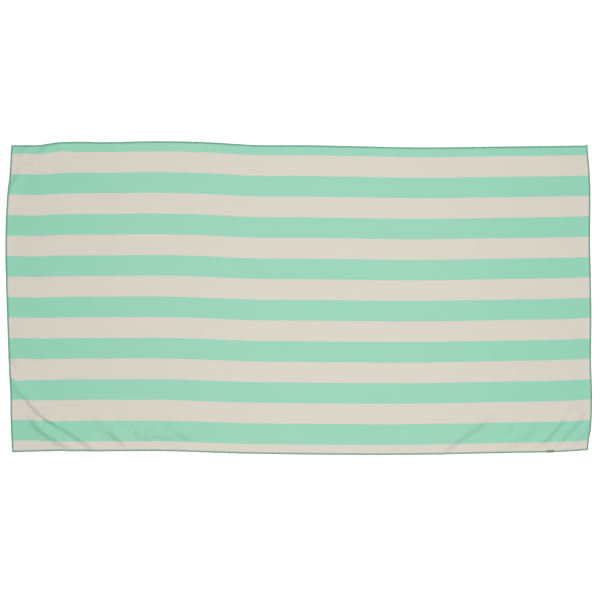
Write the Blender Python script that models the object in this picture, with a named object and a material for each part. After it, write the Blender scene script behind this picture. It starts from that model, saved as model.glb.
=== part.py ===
"""Beach towel, 1.70 m by 0.90 m, laid out flat with its face up.

Metres, +Z up. +X runs along the towel and +Y across it. The origin is on the surface that
carries the towel, under its middle. Sizes below are in millimetres and become metres where
a mesh is made.

The cloth is one sheet. Its sides wander a few millimetres from straight, and low creases
cut across its corners. Overlock stitching wraps each side as a run of its own: two long
runs over the full length, and two short runs between them. A small label is caught in the
lower run.
"""

from typing import NamedTuple

import bmesh
import bpy
import numpy as np

MM = 0.001

# Driving sizes, in millimetres
LENGTH = 1700.0  # over the stitching, along X
WIDTH = 900.0  # over the stitching, along Y
CLOTH_THICKNESS = 1.2
GAP = 0.3  # between two pieces that lie against each other
STITCH_WALL = 0.5  # thickness of the thread wrapped round the edge
STITCH_BITE = 4.0  # how far the stitching reaches onto the cloth
LIFT_END = 16.0  # how far in from its edge the cloth lies on the surface again
LABEL_MIDDLE = 741.0  # along X, from the towel's middle
LABEL_LENGTH = 23.0
LABEL_WALL = 0.5
LABEL_DROP = 2.2  # how far the label's folded end hangs down outside the stitching

# Sizes that follow from them
EDGE_INSET = GAP + STITCH_WALL  # from the towel's outline to the cloth's own edge
CLOTH_HALF_LENGTH = LENGTH / 2 - EDGE_INSET
CLOTH_HALF_WIDTH = WIDTH / 2 - EDGE_INSET
SEAM_LINE = STITCH_BITE + GAP  # first grid line of the cloth, clear of the stitching
EDGE_LIFT = EDGE_INSET  # the stitching under the edge holds the cloth up by this much

RIDGE_STEPS = 24  # straight steps along a crease, for measuring distances to it
FADED_PART = 0.3  # of a crease's length, at each of its ends


class Bow(NamedTuple):
    """How far a side of the towel stands out from its straight line, at one place on it."""

    along: float  # from the middle of the side, towards +X or +Y
    outward: float  # away from the middle of the towel


TOP_SIDE = (
    Bow(along=-850, outward=-4.0),
    Bow(along=-770, outward=-3.8),
    Bow(along=-705, outward=4.0),
    Bow(along=-560, outward=4.8),
    Bow(along=-420, outward=7.5),
    Bow(along=-270, outward=4.5),
    Bow(along=-130, outward=-3.5),
    Bow(along=20, outward=-4.2),
    Bow(along=150, outward=-6.5),
    Bow(along=340, outward=-10.5),
    Bow(along=600, outward=-8.0),
    Bow(along=850, outward=-5.0),
)
BOTTOM_SIDE = (
    Bow(along=-850, outward=0.0),
    Bow(along=-710, outward=-3.4),
    Bow(along=-560, outward=-2.8),
    Bow(along=-400, outward=-3.0),
    Bow(along=-190, outward=3.5),
    Bow(along=50, outward=7.0),
    Bow(along=330, outward=7.5),
    Bow(along=600, outward=2.5),
    Bow(along=780, outward=-1.5),
    Bow(along=850, outward=-6.0),
)
LEFT_SIDE = (
    Bow(along=-450, outward=-14.0),
    Bow(along=-390, outward=-10.8),
    Bow(along=-300, outward=-9.0),
    Bow(along=-250, outward=-9.0),
    Bow(along=-200, outward=-5.4),
    Bow(along=-40, outward=1.0),
    Bow(along=180, outward=5.5),
    Bow(along=270, outward=2.5),
    Bow(along=360, outward=-6.0),
    Bow(along=450, outward=-11.5),
)
RIGHT_SIDE = (
    Bow(along=-450, outward=-7.0),
    Bow(along=-425, outward=-4.5),
    Bow(along=-390, outward=1.0),
    Bow(along=-290, outward=5.5),
    Bow(along=-210, outward=3.0),
    Bow(along=-40, outward=3.5),
    Bow(along=60, outward=2.0),
    Bow(along=140, outward=0.0),
    Bow(along=360, outward=-1.0),
    Bow(along=450, outward=-8.0),
)


class Crease(NamedTuple):
    """A low ridge in the cloth, along a curve from its start through its middle to its end.

    The cloth drops steeply from the ridge on the right of that way, and gently on the left.
    """

    start: tuple[float, float]
    middle: tuple[float, float]
    end: tuple[float, float]
    height: float
    steep: float  # width of the steep flank, at the start
    gentle: float  # width of the gentle flank, at the start
    widening: float = 1.0  # how many times as wide they are at the end


CREASES = (
    # Lower left corner: the long crease in two pulls with its wide upper end, the short one, and others
    Crease(
        start=(-866, -160),
        middle=(-785, -302),
        end=(-690, -374),
        height=6.4,
        steep=14,
        gentle=40,
    ),
    Crease(start=(-884, -146), middle=(-840, -239), end=(-796, -302), height=6.4, steep=31, gentle=22),
    Crease(start=(-790, -323), middle=(-668, -389), end=(-554, -469), height=10.0, steep=23, gentle=42),
    Crease(start=(-796, -333), middle=(-719, -404), end=(-608, -459), height=7.8, steep=20, gentle=30),
    Crease(start=(-785, -349), middle=(-741, -388), end=(-686, -422), height=2.6, steep=36, gentle=20),
    Crease(
        start=(-844, -154),
        middle=(-816, -198),
        end=(-774, -234),
        height=4.6,
        steep=16,
        gentle=26,
        widening=1.6,
    ),
    Crease(start=(-559, -382), middle=(-526, -409), end=(-490, -438), height=6.6, steep=16, gentle=32),
    Crease(start=(-594, -335), middle=(-565, -367), end=(-531, -403), height=4.0, steep=34, gentle=30),
    Crease(start=(-482, -394), middle=(-455, -403), end=(-422, -416), height=4.7, steep=15, gentle=30),
    Crease(start=(-450, -395), middle=(-410, -400), end=(-346, -407), height=5.6, steep=15, gentle=30),
    Crease(
        start=(-393, -353),
        middle=(-344, -391),
        end=(-304, -416),
        height=7.4,
        steep=29,
        gentle=28,
        widening=0.55,
    ),
    # Lower right corner, from the middle of the side out
    Crease(start=(390, -468), middle=(481, -399), end=(575, -334), height=7.0, steep=19, gentle=34),
    Crease(start=(560, -438), middle=(594, -402), end=(622, -362), height=3.4, steep=22, gentle=26),
    Crease(
        start=(566, -450),
        middle=(642, -408),
        end=(712, -350),
        height=4.8,
        steep=25,
        gentle=30,
        widening=1.5,
    ),
    Crease(start=(680, -443), middle=(743, -386), end=(769, -345), height=6.3, steep=15, gentle=32),
    Crease(start=(748, -376), middle=(778, -334), end=(796, -286), height=3.8, steep=44, gentle=26),
    Crease(
        start=(738, -440),
        middle=(794, -379),
        end=(836, -332),
        height=5.6,
        steep=16,
        gentle=24,
        widening=1.4,
    ),
    Crease(start=(782, -430), middle=(820, -399), end=(862, -364), height=5.4, steep=25, gentle=20),
    # Upper left corner, from the inside out
    Crease(
        start=(-671, 468),
        middle=(-727, 442),
        end=(-775, 412),
        height=3.8,
        steep=13,
        gentle=34,
    ),
    Crease(start=(-756, 416), middle=(-794, 386), end=(-832, 368), height=1.6, steep=16, gentle=24),
    Crease(start=(-807, 366), middle=(-830, 330), end=(-849, 274), height=5.2, steep=19, gentle=24),
    Crease(start=(-768, 462), middle=(-792, 434), end=(-812, 404), height=3.2, steep=30, gentle=14),
)


class Span(NamedTuple):
    """A stretch of the cloth's grid whose lines are evenly spaced."""

    to: float  # where it ends, from the middle of the towel
    cells: int


COLUMNS = (
    Span(to=-560, cells=20),
    Span(to=-310, cells=12),
    Span(to=390, cells=7),
    Span(to=CLOTH_HALF_LENGTH - LIFT_END, cells=28),
)
ROWS = (
    Span(to=-330, cells=8),
    Span(to=-170, cells=8),
    Span(to=280, cells=5),
    Span(to=CLOTH_HALF_WIDTH - LIFT_END, cells=7),
)


class Finish(NamedTuple):
    """A material: its base colour (linear red, green, blue) and how rough it is."""

    name: str
    colour: tuple[float, float, float]
    roughness: float


TOWEL_CLOTH = Finish("towel_cloth", (0.34, 0.66, 0.46), 0.95)
OVERLOCK_THREAD = Finish("overlock_thread", (0.16, 0.36, 0.26), 0.75)
LABEL_TAPE = Finish("label_tape", (0.12, 0.16, 0.13), 0.70)


def clear_scene():
    """Removes every object, so that the towel is alone in its scene."""
    for thing in list(bpy.data.objects):
        bpy.data.objects.remove(thing, do_unlink=True)


def curve_through(rows, at):
    """Reads a smooth curve through a table's rows at the places in at."""
    places, values = np.array(rows, float).T
    slopes = np.gradient(values, places)
    at = np.clip(at, places[0], places[-1])
    row = np.clip(np.searchsorted(places, at) - 1, 0, len(places) - 2)
    step = places[row + 1] - places[row]
    t = (at - places[row]) / step
    from_values = (1 + 2 * t) * (1 - t) ** 2 * values[row] + (3 - 2 * t) * t**2 * values[row + 1]
    from_slopes = t * (1 - t) ** 2 * slopes[row] - (1 - t) * t**2 * slopes[row + 1]
    return from_values + step * from_slopes


def laid(x, y):
    """Where places of the straight towel lie, once its sides wander as the tables say."""
    left = -LENGTH / 2 - curve_through(LEFT_SIDE, y)
    right = LENGTH / 2 + curve_through(RIGHT_SIDE, y)
    bottom = -WIDTH / 2 - curve_through(BOTTOM_SIDE, x)
    top = WIDTH / 2 + curve_through(TOP_SIDE, x)
    return (
        left + (right - left) * (x / LENGTH + 0.5),
        bottom + (top - bottom) * (y / WIDTH + 0.5),
    )


def crease_height(crease, x, y):
    """Height of one crease at laid places. It fades to nothing near both its ends."""
    start, middle, end = (np.array(place, float) for place in crease[:3])
    control = 2 * middle - (start + end) / 2
    t = np.linspace(0, 1, RIDGE_STEPS + 1)[:, None]
    ridge = (1 - t) ** 2 * start + 2 * t * (1 - t) * control + t**2 * end
    nearest = np.full(x.shape, np.inf)
    on_right = np.zeros(x.shape, bool)
    way = np.zeros(x.shape)
    for i in range(RIDGE_STEPS):
        step = ridge[i + 1] - ridge[i]
        part = ((x - ridge[i][0]) * step[0] + (y - ridge[i][1]) * step[1]) / (step @ step)
        part = np.clip(part, 0, 1)
        off_x = x - ridge[i][0] - part * step[0]
        off_y = y - ridge[i][1] - part * step[1]
        distance = np.hypot(off_x, off_y)
        closer = distance < nearest
        nearest = np.where(closer, distance, nearest)
        on_right = np.where(closer, off_x * step[1] > off_y * step[0], on_right)
        way = np.where(closer, (i + part) / RIDGE_STEPS, way)
    width = np.where(on_right, crease.steep, crease.gentle) * (1 + (crease.widening - 1) * way)
    s = np.clip(nearest / width, 0, 1)
    flank = (1 - s) ** 2 * np.where(on_right, 1 + s, 1 + 2 * s)
    end = np.clip(np.minimum(way, 1 - way) / FADED_PART, 0, 1)
    return crease.height * flank * end**2 * (3 - 2 * end)


def underside(x, y):
    """Height of the cloth's underside over the surface, at places of the straight towel.

    Under the stitching, the cloth is stiff and stays level from its edge to the seam line.
    """
    x = np.clip(x, SEAM_LINE - CLOTH_HALF_LENGTH, CLOTH_HALF_LENGTH - SEAM_LINE)
    y = np.clip(y, SEAM_LINE - CLOTH_HALF_WIDTH, CLOTH_HALF_WIDTH - SEAM_LINE)
    from_edge = np.minimum(CLOTH_HALF_LENGTH - np.abs(x), CLOTH_HALF_WIDTH - np.abs(y))
    s = np.clip((from_edge - SEAM_LINE) / (LIFT_END - SEAM_LINE), 0, 1)
    height = EDGE_LIFT * (1 - s**2 * (3 - 2 * s))
    for crease in CREASES:
        height = height + crease_height(crease, *laid(x, y))
    return height


def grid_lines(half, spans):
    """The cloth's grid lines across one direction, from one edge to the other."""
    start = LIFT_END - half
    lines = [-half, SEAM_LINE - half]
    for span in spans:
        lines.extend(np.linspace(start, span.to, span.cells, endpoint=False))
        start = span.to
    return np.array([*lines, start, half - SEAM_LINE, half])


def make_material(finish):
    """Makes a Principled material from a finish."""
    material = bpy.data.materials.new(finish.name)
    material.use_nodes = True
    shader = material.node_tree.nodes["Principled BSDF"]
    shader.inputs["Base Color"].default_value = (*finish.colour, 1)
    shader.inputs["Roughness"].default_value = finish.roughness
    shader.inputs["Metallic"].default_value = 0
    return material


def add_piece(name, bm, material):
    """Turns a finished bmesh, in millimetres, into one object of the towel."""
    bmesh.ops.recalc_face_normals(bm, faces=bm.faces)
    bmesh.ops.scale(bm, vec=(MM, MM, MM), verts=bm.verts)
    mesh = bpy.data.meshes.new(name)
    bm.to_mesh(mesh)
    bm.free()
    mesh.materials.append(material)
    mesh.shade_smooth()
    mesh.set_sharp_from_angle(angle=np.radians(50))
    piece = bpy.data.objects.new(name, mesh)
    bpy.context.collection.objects.link(piece)


def make_cloth(material):
    """The towel's one sheet: a grid laid in its creases, then thickened upwards."""
    columns = grid_lines(CLOTH_HALF_LENGTH, COLUMNS)
    rows = grid_lines(CLOTH_HALF_WIDTH, ROWS)
    bm = bmesh.new()
    bmesh.ops.create_grid(bm, x_segments=len(columns) - 1, y_segments=len(rows) - 1, size=1)
    places = np.array([vert.co[:2] for vert in bm.verts])
    x = columns[np.rint((places[:, 0] + 1) / 2 * (len(columns) - 1)).astype(int)]
    y = rows[np.rint((places[:, 1] + 1) / 2 * (len(rows) - 1)).astype(int)]
    for vert, place in zip(bm.verts, zip(*laid(x, y), underside(x, y))):
        vert.co = place
    raised = bmesh.ops.extrude_face_region(bm, geom=bm.faces[:])["geom"]
    upper = [part for part in raised if isinstance(part, bmesh.types.BMVert)]
    bmesh.ops.translate(bm, vec=(0, 0, CLOTH_THICKNESS), verts=upper)
    add_piece("towel_cloth", bm, material)


class Side:
    """One side of the cloth, as pieces wrapped round its edge need it.

    Attributes:
        stations: places along the side: the towel's outline at both ends, and between them
            each grid line of the cloth.
    """

    def __init__(self, sign, long_side):
        """sign is 1 for the top or right side, and long_side says which pair it is of."""
        half = CLOTH_HALF_WIDTH if long_side else CLOTH_HALF_LENGTH
        if long_side:
            lines = grid_lines(CLOTH_HALF_LENGTH, COLUMNS)
        else:
            lines = grid_lines(CLOTH_HALF_WIDTH, ROWS)
        self.stations = np.array([lines[0] - EDGE_INSET, *lines, lines[-1] + EDGE_INSET])
        edge = np.full(len(self.stations), sign * half)
        seam = np.full(len(self.stations), sign * (half - SEAM_LINE))
        self.edge, self.seam = (
            self._cloth_points(self.stations, across, long_side) for across in (edge, seam)
        )

    @staticmethod
    def _cloth_points(along, across, long_side):
        """Laid points of the cloth's underside, one row of x, y and height for each."""
        x, y = (along, across) if long_side else (across, along)
        return np.array([*laid(x, y), underside(x, y)]).T

    def point(self, along, inward, above):
        """A point beside the cloth.

        Args:
            along: how far along the side, in the stations' own measure.
            inward: how far in from the cloth's edge, negative beyond it.
            above: height over the cloth's underside there.
        """
        edge, seam = (
            np.array([np.interp(along, self.stations, column) for column in line.T])
            for line in (self.edge, self.seam)
        )
        return edge + (seam - edge) * inward / SEAM_LINE + (0, 0, above)


def sweep(name, side, alongs, section, material):
    """Makes a solid by carrying a section along a side of the cloth.

    Args:
        name: the piece's name.
        side: the side that it follows.
        alongs: the places along the side where the section stands.
        section: its corners in order, each (inward, above) as Side.point takes them.
        material: what it is made of.
    """
    bm = bmesh.new()
    corners = [bm.verts.new(side.point(alongs[0], *corner)) for corner in section]
    first_face = end_face = bm.faces.new(corners)
    for along in alongs[1:]:
        carried = bmesh.ops.extrude_face_region(bm, geom=[end_face])["geom"]
        if end_face is not first_face:
            bmesh.ops.delete(bm, geom=[end_face], context="FACES_ONLY")
        end_face = next(part for part in carried if isinstance(part, bmesh.types.BMFace))
        for vert, corner in zip(end_face.verts, section):
            vert.co = side.point(along, *corner)
    add_piece(name, bm, material)


def make_stitching(name, side, long_side, material):
    """One run of overlock stitching: a channel that wraps the cloth's edge."""
    under = -GAP
    over = CLOTH_THICKNESS + GAP
    channel = (
        (STITCH_BITE, under - STITCH_WALL),
        (-EDGE_INSET, under - STITCH_WALL),
        (-EDGE_INSET, over + STITCH_WALL),
        (STITCH_BITE, over + STITCH_WALL),
        (STITCH_BITE, over),
        (-GAP, over),
        (-GAP, under),
        (STITCH_BITE, under),
    )
    # A short run ends where the cloth's grid clears the long runs' bite.
    alongs = side.stations if long_side else side.stations[2:-2]
    sweep(name, side, alongs, channel, material)


def make_label(side, material):
    """The label's end: folded over the stitching, flat on top and turned down outside it."""
    inner_wall = EDGE_INSET + GAP
    outer_wall = inner_wall + LABEL_WALL
    top = CLOTH_THICKNESS + EDGE_INSET + GAP
    angle = (
        (STITCH_BITE, top),
        (-inner_wall, top),
        (-inner_wall, top - LABEL_DROP),
        (-outer_wall, top - LABEL_DROP),
        (-outer_wall, top + LABEL_WALL),
        (STITCH_BITE, top + LABEL_WALL),
    )
    first = LABEL_MIDDLE - LABEL_LENGTH / 2
    last = LABEL_MIDDLE + LABEL_LENGTH / 2
    between = [place for place in side.stations if first < place < last]
    sweep("side_label", side, [first, *between, last], angle, material)


def main():
    """Builds the towel."""
    clear_scene()
    thread = make_material(OVERLOCK_THREAD)
    top, bottom = (Side(sign, long_side=True) for sign in (1, -1))
    right, left = (Side(sign, long_side=False) for sign in (1, -1))
    make_cloth(make_material(TOWEL_CLOTH))
    make_stitching("stitching_top", top, True, thread)
    make_stitching("stitching_bottom", bottom, True, thread)
    make_stitching("stitching_right", right, False, thread)
    make_stitching("stitching_left", left, False, thread)
    make_label(bottom, make_material(LABEL_TAPE))


main()
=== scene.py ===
"""Looks of the beach towel: striped suede microfibre, overlocked edges and a small bare label.

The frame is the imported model's: metres, +Z up, +X along the towel and +Y across it, with the
origin on the surface that carries it, under its middle. Every piece is first placed on the
flat, straight towel in millimetres, as a maker cuts and sews it, and then laid out. Laid out,
the towel's sides wander, and low creases cut across its corners.
"""

import logging
from collections.abc import Callable
from dataclasses import dataclass, field
from enum import Enum
from typing import NamedTuple

import bmesh
import bpy
import numpy as np
from mathutils import Matrix, Vector


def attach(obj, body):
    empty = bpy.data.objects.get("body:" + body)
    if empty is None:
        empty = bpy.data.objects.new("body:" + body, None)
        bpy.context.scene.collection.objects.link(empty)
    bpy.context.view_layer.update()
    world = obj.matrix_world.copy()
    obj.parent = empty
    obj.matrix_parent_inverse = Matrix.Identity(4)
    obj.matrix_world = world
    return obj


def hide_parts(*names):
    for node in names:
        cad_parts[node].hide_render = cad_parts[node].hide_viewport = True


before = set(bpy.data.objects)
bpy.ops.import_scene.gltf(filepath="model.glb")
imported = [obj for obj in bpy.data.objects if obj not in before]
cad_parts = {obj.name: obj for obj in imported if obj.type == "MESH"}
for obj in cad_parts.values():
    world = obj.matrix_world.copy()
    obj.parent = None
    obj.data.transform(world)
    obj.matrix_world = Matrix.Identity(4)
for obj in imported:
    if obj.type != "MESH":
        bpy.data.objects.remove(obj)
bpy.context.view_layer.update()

MM = 0.001
LOG = logging.getLogger("beach_towel")

Colour = tuple[float, float, float]
Place = tuple[float, float]
Places = np.ndarray


# ---------------------------------------------------------------- how the towel lies


def smooth_step(t: Places) -> Places:
    """Goes smoothly from 0 to 1 as t does, and stays there beyond."""
    t = np.clip(t, 0, 1)
    return t**2 * (3 - 2 * t)


@dataclass(frozen=True)
class Wander:
    """A smooth line that strays from a straight one.

    Attributes:
        rows: pairs of a place along the straight line and how far off it the line is there.
    """

    rows: tuple[Place, ...]

    def at(self, along: Places) -> Places:
        """Reads how far off the line is.

        Args:
            along: places along it. Beyond its rows, it goes on as at the nearest one.

        Returns:
            The distance at each place.
        """
        places, values = np.array(self.rows, float).T
        slopes = np.gradient(values, places)
        along = np.clip(along, places[0], places[-1])
        row = np.clip(np.searchsorted(places, along) - 1, 0, len(places) - 2)
        step = places[row + 1] - places[row]
        t = (along - places[row]) / step
        from_values = (1 + 2 * t) * (1 - t) ** 2 * values[row] + (3 - 2 * t) * t**2 * values[row + 1]
        from_slopes = t * (1 - t) ** 2 * slopes[row] - (1 - t) * t**2 * slopes[row + 1]
        return from_values + step * from_slopes


@dataclass(frozen=True)
class Sway:
    """A wave whose crests drift to and fro.

    Attributes:
        rate: its turns, for each turn of the ground along it.
        drift: how far its crests drift, in radians.
        drift_rate: turns of that drift, for each turn of the ground beside it.
        drift_start: where the drift starts, in radians.
    """

    rate: float
    drift: float
    drift_rate: float
    drift_start: float = 0.0

    def at(self, turn: Places, beside: Places) -> Places:
        """The wave, between -1 and 1, where the ground has turned so far along and beside it."""
        return np.sin(self.rate * turn + self.drift * np.sin(self.drift_rate * beside + self.drift_start))


class Beside(NamedTuple):
    """How places lie beside a crease's ridge.

    Attributes:
        off_x, off_y: to them from the nearest place on the ridge.
        on_right: whether they lie on the ridge's right.
        way: that nearest place, from 0 at the crease's start to 1 at its end.
    """

    off_x: Places
    off_y: Places
    on_right: Places
    way: Places

    @property
    def distance(self) -> Places:
        """How far the places are from the ridge."""
        return np.hypot(self.off_x, self.off_y)


@dataclass(frozen=True)
class Crease:
    """A low ridge in the cloth, along a curve. Sizes in millimetres.

    The cloth drops steeply from the ridge on the right of its path, and gently on the left.

    Attributes:
        path: its start, its middle and its end, on the laid towel.
        height: of the ridge.
        steep, gentle: widths of the two flanks, at its start.
        widening: how many times as wide they are at its end.
        from_steep, from_gentle: how far the cloth that it takes up was drawn to it from
            either side, at its start and less and less towards its end.
        end_share: share of its length over which it rises, and again falls away.
        step: from one place on the ridge to the next, about.
        wander: how far the ridge strays from its smooth curve.
        height_play: share by which the ridge's height varies.
        height_shift: how far along that variation is moved against the straying.
        uneven_runs: distances in which its two kinds of unevenness turn by a radian.
        level_reach: how near the ridge the pull on the cloth levels out.
    """

    path: tuple[Place, Place, Place]
    height: float
    steep: float
    gentle: float
    widening: float = 1.0
    from_steep: float = 0.0
    from_gentle: float = 0.0
    end_share: float = 0.3
    step: float = 6.0
    wander: float = 1.3
    height_play: float = 0.1
    height_shift: float = 40.0
    uneven_runs: tuple[float, float] = (5.6, 9.7)
    level_reach: float = 2.0

    @property
    def length(self) -> float:
        """From its start straight to its end."""
        return np.hypot(*np.subtract(self.path[2], self.path[0]))

    def uneven(self, run: Places) -> Places:
        """Small unevenness between -1 and 1, at distances run along the ridge."""
        return sum(np.sin(run / by + start) for by, start in zip(self.uneven_runs, self.path[0])) / 2

    def fade(self, way: Places) -> Places:
        """How much of the crease there is: all of it but near its ends, and nothing past them."""
        return smooth_step(np.minimum(way, 1 - way) / self.end_share)

    def ridge(self) -> Places:
        """Walks the ridge.

        Returns:
            One row of x and y for each place.
        """
        start, middle, end = np.array(self.path, float)
        control = 2 * middle - (start + end) / 2
        t = np.linspace(0, 1, int(np.ceil(self.length / self.step)) + 1)[:, None]
        smooth = (1 - t) ** 2 * start + 2 * t * (1 - t) * control + t**2 * end
        ahead = np.gradient(smooth, axis=0)
        aside = np.column_stack((ahead[:, 1], -ahead[:, 0])) / np.hypot(*ahead.T)[:, None]
        return smooth + self.wander * self.uneven(t * self.length) * aside

    def beside(self, x: Places, y: Places) -> Beside:
        """Measures how places lie beside the ridge.

        Args:
            x, y: the places, on the laid towel.

        Returns:
            How they lie.
        """
        ridge = self.ridge()
        steps = np.diff(ridge, axis=0)
        nowhere = np.full(x.shape, np.inf)
        found = Beside(nowhere, nowhere, np.zeros(x.shape, bool), nowhere)
        for i, (at, step) in enumerate(zip(ridge, steps)):
            part = np.clip(((x - at[0]) * step[0] + (y - at[1]) * step[1]) / (step @ step), 0, 1)
            off_x = x - at[0] - part * step[0]
            off_y = y - at[1] - part * step[1]
            on_right = off_x * step[1] > off_y * step[0]
            here = Beside(off_x, off_y, on_right, (i + part) / len(steps))
            closer = here.distance < found.distance
            found = Beside(*(np.where(closer, new, old) for new, old in zip(here, found)))
        return found

    def height_at(self, x: Places, y: Places) -> Places:
        """The crease's own height.

        Args:
            x, y: places on the laid towel.

        Returns:
            The height at each place.
        """
        beside = self.beside(x, y)
        width = np.where(beside.on_right, self.steep, self.gentle)
        s = np.clip(beside.distance / width / (1 + (self.widening - 1) * beside.way), 0, 1)
        flank = (1 - s) ** 2 * np.where(beside.on_right, 1 + s, 1 + 2 * s)
        play = self.height_play * self.uneven(self.height_shift - beside.way * self.length)
        return self.height * (1 + play) * flank * self.fade(beside.way)

    def drawn_up(self, x: Places, y: Places, reach: float) -> Places:
        """How far the cloth was drawn towards +Y to the crease.

        Args:
            x, y: places on the laid towel.
            reach: how far from the ridge the cloth gave way.

        Returns:
            The distance at each place.
        """
        beside = self.beside(x, y)
        drawn = np.where(beside.on_right, self.from_steep, self.from_gentle) * (1 - beside.way) ** 2
        near = (1 - np.clip(beside.distance / reach, 0, 1)) ** 2
        up = -beside.off_y / np.maximum(beside.distance, self.level_reach)
        return drawn * near * up * self.fade(beside.way)


# How far each side stands out from its straight line: pairs of a place along it, towards +X
# or +Y, and the distance away from the towel's middle, in millimetres.
TOP_SIDE = Wander(rows=(
    (-850, -4.0), (-770, -3.8), (-705, 4.0), (-560, 4.8), (-420, 7.5), (-270, 4.5),
    (-130, -3.5), (20, -4.2), (150, -6.5), (340, -10.5), (600, -8.0), (850, -5.0),
))
BOTTOM_SIDE = Wander(rows=(
    (-850, 0.0), (-710, -3.4), (-560, -2.8), (-400, -3.0), (-190, 3.5),
    (50, 7.0), (330, 7.5), (600, 2.5), (780, -1.5), (850, -6.0),
))
LEFT_SIDE = Wander(rows=(
    (-450, -14.0), (-390, -10.8), (-300, -9.0), (-250, -9.0), (-200, -5.4),
    (-40, 1.0), (180, 5.5), (270, 2.5), (360, -6.0), (450, -11.5),
))
RIGHT_SIDE = Wander(rows=(
    (-450, -7.0), (-425, -4.5), (-390, 1.0), (-290, 5.5), (-210, 3.0),
    (-40, 3.5), (60, 2.0), (140, 0.0), (360, -1.0), (450, -8.0),
))
LOWER_LEFT_CREASES = (
    Crease(
        path=((-866, -160), (-785, -302), (-690, -374)),
        height=6.4,
        steep=14,
        gentle=40,
        from_steep=3.0,
        from_gentle=19.0,
    ),
    Crease(path=((-884, -146), (-840, -239), (-796, -302)), height=6.4, steep=31, gentle=22),
    Crease(path=((-790, -323), (-668, -389), (-554, -469)), height=10.0, steep=23, gentle=42),
    Crease(path=((-796, -333), (-719, -404), (-608, -459)), height=7.8, steep=20, gentle=30),
    Crease(path=((-785, -349), (-741, -388), (-686, -422)), height=2.6, steep=36, gentle=20),
    Crease(path=((-844, -154), (-816, -198), (-774, -234)), height=4.6, steep=16, gentle=26, widening=1.6),
    Crease(path=((-559, -382), (-526, -409), (-490, -438)), height=6.6, steep=16, gentle=32),
    Crease(path=((-594, -335), (-565, -367), (-531, -403)), height=4.0, steep=34, gentle=30),
    Crease(path=((-482, -394), (-455, -403), (-422, -416)), height=4.7, steep=15, gentle=30),
    Crease(path=((-450, -395), (-410, -400), (-346, -407)), height=5.6, steep=15, gentle=30),
    Crease(path=((-393, -353), (-344, -391), (-304, -416)), height=7.4, steep=29, gentle=28, widening=0.55),
)
LOWER_RIGHT_CREASES = (
    Crease(path=((390, -468), (481, -399), (575, -334)), height=7.0, steep=19, gentle=34),
    Crease(path=((560, -438), (594, -402), (622, -362)), height=3.4, steep=22, gentle=26),
    Crease(path=((566, -450), (642, -408), (712, -350)), height=4.8, steep=25, gentle=30, widening=1.5),
    Crease(path=((680, -443), (743, -386), (769, -345)), height=6.3, steep=15, gentle=32),
    Crease(path=((748, -376), (778, -334), (796, -286)), height=3.8, steep=44, gentle=26),
    Crease(path=((738, -440), (794, -379), (836, -332)), height=5.6, steep=16, gentle=24, widening=1.4),
    Crease(path=((782, -430), (820, -399), (862, -364)), height=5.4, steep=25, gentle=20),
)
UPPER_LEFT_CREASES = (
    Crease(
        path=((-671, 468), (-727, 442), (-775, 412)),
        height=3.8,
        steep=13,
        gentle=34,
        from_steep=14.0,
        from_gentle=14.0,
    ),
    Crease(path=((-756, 416), (-794, 386), (-832, 368)), height=1.6, steep=16, gentle=24),
    Crease(path=((-807, 366), (-830, 330), (-849, 274)), height=5.2, steep=19, gentle=24),
    Crease(path=((-768, 462), (-792, 434), (-812, 404)), height=3.2, steep=30, gentle=14),
)
CREASES = LOWER_LEFT_CREASES + LOWER_RIGHT_CREASES + UPPER_LEFT_CREASES


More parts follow.
